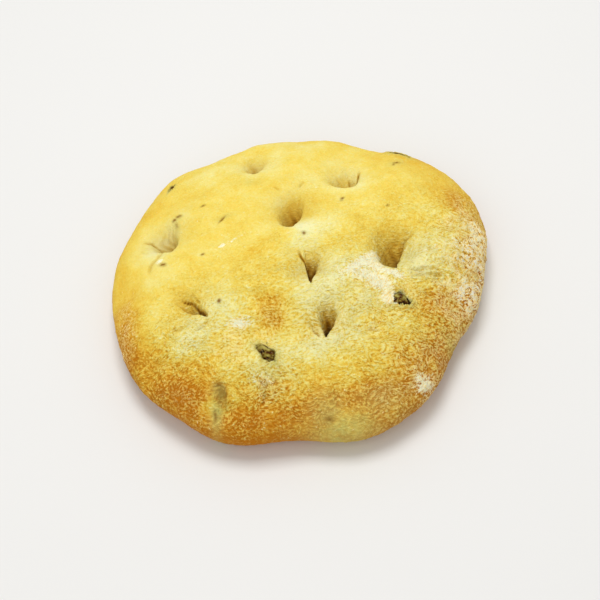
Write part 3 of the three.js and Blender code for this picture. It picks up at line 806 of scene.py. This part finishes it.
def mathNode(tree, operation, x, y, *values, clamp=False):
    node = addNode(tree, "ShaderNodeMath", x, y, operation=operation, use_clamp=clamp)
    for socket, value in zip(node.inputs, values):
        feed(tree, socket, value)
    return node.outputs[0]


def mixColor(tree, x, y, factor, under, over):
    node = addNode(tree, "ShaderNodeMix", x, y, data_type="RGBA")
    feed(tree, node.inputs["Factor"], factor)
    feed(tree, node.inputs[6], under)
    feed(tree, node.inputs[7], over)
    return node.outputs[2]


def addNoise(tree, x, y, vector, **values):
    node = addNode(tree, "ShaderNodeTexNoise", x, y)
    setInputs(node, **values)
    tree.links.new(vector, node.inputs["Vector"])
    return node


def addRamp(tree, x, y, factor, stops):  # each stop is a place from 0 to 1 and a colour
    ramp = addNode(tree, "ShaderNodeValToRGB", x, y)
    for _ in stops[2:]:
        ramp.color_ramp.elements.new(0.5)
    for element, (position, color) in zip(ramp.color_ramp.elements, stops):
        element.position = position
        element.color = paint(*color)
    tree.links.new(factor, ramp.inputs[0])
    return ramp.outputs[0]


def addBump(tree, shader, x, y, height, strength, distance):
    bump = addNode(tree, "ShaderNodeBump", x, y)
    setInputs(bump, Strength=strength, Distance=distance)
    tree.links.new(height, bump.inputs["Height"])
    tree.links.new(bump.outputs[0], shader.inputs["Normal"])


def warpedPlace(tree, x, y, vector, scale, reach):  # draws the space out, so that the grain has a run
    drift = addNoise(tree, x, y, vector, Scale=scale, Detail=1.0)
    centred = addNode(tree, "ShaderNodeVectorMath", x + 150, y, operation="SUBTRACT")
    tree.links.new(drift.outputs["Color"], centred.inputs[0])
    centred.inputs[1].default_value = (0.5, 0.5, 0.5)
    moved = addNode(tree, "ShaderNodeVectorMath", x + 300, y, operation="MULTIPLY_ADD")
    tree.links.new(centred.outputs[0], moved.inputs[0])
    moved.inputs[1].default_value = (reach, reach, reach)
    tree.links.new(vector, moved.inputs[2])
    return moved.outputs[0]


def makeThreadGroup():  # threads of baked dough: about -1 in the gaps between them and 1 along their tops
    group, start, end = newGroup(
        "doughThreads",
        (("Vector", "NodeSocketVector", None), ("Size", "NodeSocketFloat", 620.0)),
        (("Relief", "NodeSocketFloat"), ("Tops", "NodeSocketFloat"), ("Strands", "NodeSocketFloat"),
         ("Gaps", "NodeSocketFloat")),
    )
    link = group.links.new
    place = warpedPlace(group, -900, 200, start.outputs["Vector"], 110.0, 0.005)
    drawn = addNode(group, "ShaderNodeVectorMath", -500, 300, operation="MULTIPLY")
    link(place, drawn.inputs[0])
    drawn.inputs[1].default_value = (0.75, 1.1, 1.0)
    threads = addNoise(group, -400, 200, drawn.outputs[0], Detail=2.0, Roughness=0.6)
    link(start.outputs["Size"], threads.inputs["Scale"])
    strand = mathNode(group, "MULTIPLY_ADD", -250, 200, threads.outputs[0], 7.5, -3.75)
    crumbs = addNoise(group, -400, -150, place, Scale=1500.0, Detail=2.0, Roughness=0.6)
    crumb = mathNode(group, "MULTIPLY_ADD", -100, -150, crumbs.outputs[0], 3.0, -1.5)
    relief = mathNode(group, "ADD", 250, 0, crumb, strand)
    link(relief, end.inputs["Relief"])
    link(mathNode(group, "MULTIPLY_ADD", 450, 150, relief, 1.6, 0.45, clamp=True), end.inputs["Tops"])
    link(mathNode(group, "MULTIPLY_ADD", 450, 0, relief, 1.6, -0.5, clamp=True), end.inputs["Strands"])
    link(mathNode(group, "MULTIPLY_ADD", 450, -150, relief, -0.8, -0.3, clamp=True), end.inputs["Gaps"])
    return group


def makeGrainGroup():  # fine baked grain: a height for the bump and a mottling round 0
    group, start, end = newGroup(
        "bakedGrain",
        (("Vector", "NodeSocketVector", None), ("Scale", "NodeSocketFloat", 1000.0),
         ("Roughness", "NodeSocketFloat", 0.6)),
        (("Height", "NodeSocketFloat"), ("Mottle", "NodeSocketFloat")),
    )
    link = group.links.new
    grain = addNoise(group, -500, 150, start.outputs["Vector"], Detail=4.0, Distortion=0.4)
    pores = addNode(group, "ShaderNodeTexVoronoi", -500, -150, feature="SMOOTH_F1")
    setInputs(pores, Smoothness=0.5)
    link(start.outputs["Vector"], pores.inputs["Vector"])
    link(start.outputs["Scale"], grain.inputs["Scale"])
    link(start.outputs["Scale"], pores.inputs["Scale"])
    link(start.outputs["Roughness"], grain.inputs["Roughness"])
    height = mathNode(group, "MULTIPLY_ADD", 0, 0, pores.outputs["Distance"], 0.6, grain.outputs[0])
    link(height, end.inputs["Height"])
    link(mathNode(group, "SUBTRACT", 0, 200, grain.outputs[0], 0.5), end.inputs["Mottle"])
    return group


threadGroup = makeThreadGroup()
grainGroup = makeGrainGroup()


def addGroup(tree, group, x, y, vector, **values):
    node = addNode(tree, "ShaderNodeGroup", x, y, node_tree=group)
    tree.links.new(vector, node.inputs["Vector"])
    setInputs(node, **values)
    return node


def newMaterial(name, roughness, specular):
    material = bpy.data.materials.new(name)
    material.use_nodes = True
    tree = material.node_tree
    shader = tree.nodes["Principled BSDF"]
    shader.location = (1400, 0)
    tree.nodes["Material Output"].location = (1700, 0)
    setInputs(shader, Roughness=roughness, Specular_IOR_Level=specular)
    place = addNode(tree, "ShaderNodeTexCoord", -1400, 0).outputs["Object"]
    return material, tree, shader, place


# colours of the crust from raw to brown, of the painted shade in its dimples and creases (hollow and deep),
# and of what lies on it
crustColors = {
    "ramp": ((0.00, (248, 243, 182)), (0.20, (245, 231, 140)), (0.38, (243, 216, 98)),
             (0.56, (236, 196, 70)), (0.76, (222, 164, 44)), (1.00, (194, 120, 16))),
    "hollow": (160, 108, 14),
    "deep": (50, 23, 0),
    "gap": (168, 104, 28),
    "olive stain": (204, 196, 108),
    # the olive film in the moat round a torn opening, darkened as painted shade
    "shaded olive film": (112, 98, 44),
    "spot": (134, 84, 8),
    "thread": (252, 231, 118),
    "cream": (254, 245, 172),
    "dust": (255, 250, 226),
    "flour": (255, 252, 214),
    "under": (196, 140, 60),
}


# how much each of them shows
crustAmounts = {
    "mottle": 0.55,  # on the browning, as the next three
    # how far painted shade pushes the browning on
    "paintedShadeTone": 0.28,
    "threads": -0.30,
    "grain": 0.30,
    # painted shade: how much it brings in the hollow colour, and how much of it comes before the deep
    # colour
    "hollow": 0.9,
    "deepFrom": 0.75,  # how dark it is before the deep colour comes in
    "gap": 0.8,
    "thread": 0.42,
    "dust": 0.95,
    "flour": 0.96,
    "bump": 0.8,
}


def makeCrustMaterial():
    material, tree, shader, place = newMaterial("baked crust", 0.7, 0.05)
    link = tree.links.new
    amounts = crustAmounts

    def attribute(name, y):
        return addNode(tree, "ShaderNodeAttribute", -1400, y, attribute_name=name).outputs["Fac"]

    def share(x, y, first, second, amount=None):  # a product, held between 0 and 1
        product = mathNode(tree, "MULTIPLY", x, y, first, second, clamp=amount is None)
        if amount is not None:
            product = mathNode(tree, "MULTIPLY", x + 150, y, product, amount, clamp=True)
        return product

    def layer(x, factor, under, name):  # one of the crust's colours over another
        return mixColor(tree, x, 200, factor, under, paint(*crustColors[name]))

    mottle = addNoise(tree, -1100, 300, place, Scale=75.0, Detail=4.0, Roughness=0.6)
    grain = addGroup(tree, grainGroup, -1100, 0, place, Scale=1050.0, Roughness=0.62)
    threads = addGroup(tree, threadGroup, -1100, -200, place, Size=880.0)
    coarse = addGroup(tree, threadGroup, -1100, -380, place, Size=560.0)
    dusted = attribute("dusted", -300)
    floured = attribute("floured", -450)
    grained = attribute("grained", -600)
    coarseness = mathNode(tree, "MULTIPLY_ADD", -1250, -300, dusted, 1.8, -0.5, clamp=True)

    def thread(name, y):  # fine threads, and coarser ones where flour has caught on them
        mix = addNode(tree, "ShaderNodeMix", -950, y, data_type="FLOAT")
        link(coarseness, mix.inputs["Factor"])
        link(threads.outputs[name], mix.inputs[2])
        link(coarse.outputs[name], mix.inputs[3])
        return mix.outputs[0]

    relief = thread("Relief", -200)
    # browning: mottled broadly, pushed on by painted shade, paler along the threads and browner between
    # them
    tone = mathNode(tree, "SUBTRACT", -900, 300, mottle.outputs[0], 0.5)
    tone = mathNode(tree, "MULTIPLY_ADD", -750, 300, tone, amounts["mottle"], attribute("browning", 150))
    dark = attribute("dark", -750)
    tone = mathNode(tree, "MULTIPLY_ADD", -650, 300, dark, amounts["paintedShadeTone"], tone)
    lift = mathNode(tree, "MULTIPLY", -900, 150, relief, grained)
    tone = mathNode(tree, "MULTIPLY_ADD", -750, 150, lift, amounts["threads"], tone)
    tone = mathNode(tree, "MULTIPLY_ADD", -600, 200, grain.outputs["Mottle"], amounts["grain"], tone,
                    clamp=True)
    color = addRamp(tree, -450, 200, tone, crustColors["ramp"])
    # painted shade in the dimples and creases, the stains over hidden olives, the torn openings with
    # painted shade in their moats, and the underside
    color = layer(-100, share(-250, -50, dark, amounts["hollow"]), color, "hollow")
    deep = mathNode(tree, "SUBTRACT", -250, -100, dark, amounts["deepFrom"], clamp=True)
    color = layer(0, deep, color, "deep")
    blotch = addNoise(tree, -500, -250, place, Scale=420.0, Detail=3.0, Roughness=0.6)
    patchy = mathNode(tree, "MULTIPLY_ADD", -300, -250, blotch.outputs[0], 1.2, 0.25)
    color = layer(100, share(-150, -250, patchy, attribute("stained", -900)), color, "olive stain")
    color = layer(400, attribute("torn", -1200), color, "shaded olive film")
    color = layer(550, attribute("under", -1350), color, "under")
    # dark gaps between the threads, then flour: caught along the threads, and a film where it was strewn
    gaps = share(450, -300, thread("Gaps", -300), dusted, amounts["gap"])
    color = layer(650, gaps, color, "gap")
    strands = share(450, -450, thread("Strands", -400), grained, amounts["thread"])
    color = layer(750, strands, color, "thread")
    dust = mixColor(tree, 700, -600, coarseness, paint(*crustColors["cream"]), paint(*crustColors["dust"]))
    caught = share(450, -600, thread("Tops", -500), dusted, amounts["dust"])
    color = mixColor(tree, 850, 200, caught, color, dust)
    clump = mathNode(tree, "MULTIPLY_ADD", 300, -750, relief, 0.16, floured)
    clump = mathNode(tree, "MULTIPLY_ADD", 450, -750, grain.outputs["Mottle"], 0.6, clump)
    film = mathNode(tree, "MULTIPLY_ADD", 600, -750, clump, 3.0, -0.70, clamp=True)
    # the flour film thins out where there is painted shade
    unshaded = mathNode(tree, "SUBTRACT", 750, -900, 1.0, dark, clamp=True)
    color = layer(950, share(750, -750, film, amounts["flour"], unshaded), color, "flour")
    color = layer(1000, attribute("spotted", -1050), color, "spot")
    link(color, shader.inputs["Base Color"])
    gloss = mathNode(tree, "MULTIPLY_ADD", 1050, -100, grain.outputs["Mottle"], 0.3, 0.66, clamp=True)
    link(gloss, shader.inputs["Roughness"])
    fine = mathNode(tree, "MULTIPLY_ADD", 750, -350, grained, 0.8, 0.15)
    height = mathNode(tree, "MULTIPLY_ADD", 900, -350, relief, 0.7, grain.outputs["Height"])
    height = mathNode(tree, "MULTIPLY", 1000, -350, height, fine)
    addBump(tree, shader, 1150, -350, height, amounts["bump"], 0.0006)
    setInputs(shader, Subsurface_Weight=0.08, Subsurface_Scale=0.001)
    shader.inputs["Subsurface Radius"].default_value = (1.0, 0.6, 0.25)
    return material


# an olive from its creases, with painted shade, to where its skin is palest, with a painted highlight,
# and the flour on it
oliveColors = {
    "ramp": ((0.38, (38, 18, 0)), (0.46, (88, 46, 6)), (0.54, (122, 102, 34)), (0.68, (174, 160, 80))),
    "dust": (232, 216, 150),
}


def makeOliveMaterial():
    material, tree, shader, place = newMaterial("baked olive", 0.5, 0.05)
    link = tree.links.new
    # ridge holds painted shade at the edge, at one end and in the creases, and a painted highlight on
    # ridges
    ridge = addNode(tree, "ShaderNodeAttribute", -1100, 200, attribute_name="ridge").outputs["Fac"]
    grain = addGroup(tree, grainGroup, -1100, -100, place, Scale=900.0, Roughness=0.6)
    blotch = addNoise(tree, -1100, -350, place, Scale=330.0, Detail=1.5, Roughness=0.5, Distortion=0.3)
    tone = mathNode(tree, "MULTIPLY_ADD", -950, 200, ridge, 0.13, blotch.outputs[0])
    color = addRamp(tree, -600, 200, tone, oliveColors["ramp"])
    crumbs = addGroup(tree, threadGroup, -600, -300, place, Size=900.0)
    dust = mathNode(tree, "MULTIPLY_ADD", -300, -300, crumbs.outputs["Strands"], 0.5, -0.32, clamp=True)
    color = mixColor(tree, 0, 200, dust, color, paint(*oliveColors["dust"]))
    link(color, shader.inputs["Base Color"])
    gloss = mathNode(tree, "MULTIPLY_ADD", 0, -100, dust, 0.5, 0.4)
    link(gloss, shader.inputs["Roughness"])
    addBump(tree, shader, 900, -350, grain.outputs["Height"], 0.5, 0.0004)
    return material


grainRamp = ((0, (240, 204, 100)), (1, (254, 243, 196)))


def makeFlourMaterial():
    material, tree, shader, place = newMaterial("baked flour", 0.85, 0.2)
    link = tree.links.new
    tint = addNode(tree, "ShaderNodeAttribute", -900, 200, attribute_name="tint").outputs["Fac"]
    grain = addGroup(tree, grainGroup, -900, -100, place, Scale=2500.0, Roughness=0.6)
    tone = mathNode(tree, "MULTIPLY_ADD", -600, 100, grain.outputs["Mottle"], 0.5, tint, clamp=True)
    link(addRamp(tree, -400, 200, tone, grainRamp), shader.inputs["Base Color"])
    addBump(tree, shader, 300, -200, grain.outputs["Height"], 0.4, 0.0001)
    return material


crust.data.materials.append(makeCrustMaterial())
oliveMaterial = makeOliveMaterial()
for piece in olivePieces:
    piece.data.materials.append(oliveMaterial)
grains.data.materials.append(makeFlourMaterial())
print("materials made")


# the plain pale floor, the soft lights and the camera at the photograph's angle
studio = {
    "floor": 6.0,
    "floorColor": (236, 235, 232),
    "floorMottle": 0.985,
    "world": 0.54,
    "lights": (  # direction from the loaf, side, power
        ("key", (0.02, 0.22, 0.95), 0.5, 6.2),
        ("fill", (-0.3, -0.75, 0.6), 1.2, 2.2),
    ),
    "lightDistance": 1.1,
    "target": (-1.59, -13.4, 16.0),
    "elevation": 52,
    "roll": 8,
    "distance": 0.640,
    "lens": 85,
    "sensor": 36,
}


def makeStudio():
    deselectAll()
    bpy.ops.mesh.primitive_plane_add(size=studio["floor"], location=(0, 0, 0))
    floor = bpy.context.object
    floor.name = "floor"
    material, tree, shader, place = newMaterial("pale floor", 0.8, 0.2)
    cloudy = addNoise(tree, -900, 0, place, Scale=6.0, Detail=2.0)
    pale = paint(*studio["floorColor"])
    greyer = tuple(studio["floorMottle"] * value for value in pale[:3]) + (1,)
    tree.links.new(mixColor(tree, 0, 0, cloudy.outputs[0], pale, greyer), shader.inputs["Base Color"])
    floor.data.materials.append(material)
    world = bpy.data.worlds.new("studio")
    world.use_nodes = True
    world.node_tree.nodes["Background"].inputs[0].default_value = (1, 1, 1, 1)
    world.node_tree.nodes["Background"].inputs[1].default_value = studio["world"]
    bpy.context.scene.world = world
    for name, direction, side, power in studio["lights"]:
        lamp = bpy.data.lights.new(name, "AREA")
        lamp.size = side
        lamp.energy = power
        light = bpy.data.objects.new(name, lamp)
        away = Vector(direction).normalized()
        light.location = away * studio["lightDistance"]
        light.rotation_euler = (-away).to_track_quat("-Z", "Y").to_euler()
        bpy.context.scene.collection.objects.link(light)
    # it looks at target from above the near side, and is rolled as the photo's camera was
    camera = bpy.data.objects.new("camera", bpy.data.cameras.new("camera"))
    camera.data.lens = studio["lens"]
    camera.data.sensor_width = studio["sensor"]
    tilt = math.radians(studio["elevation"])
    back = Vector((0, -math.cos(tilt), math.sin(tilt)))
    target = (Vector(studio["target"]) - Vector(shift)) * mm
    camera.rotation_mode = "QUATERNION"
    roll = Quaternion((0, 0, 1), -math.radians(studio["roll"]))
    camera.rotation_quaternion = (-back).to_track_quat("-Z", "Y") @ roll
    camera.location = target + back * studio["distance"]
    bpy.context.scene.collection.objects.link(camera)
    bpy.context.scene.camera = camera
    bpy.context.scene.view_settings.view_transform = "Standard"


makeStudio()
print("studio made")
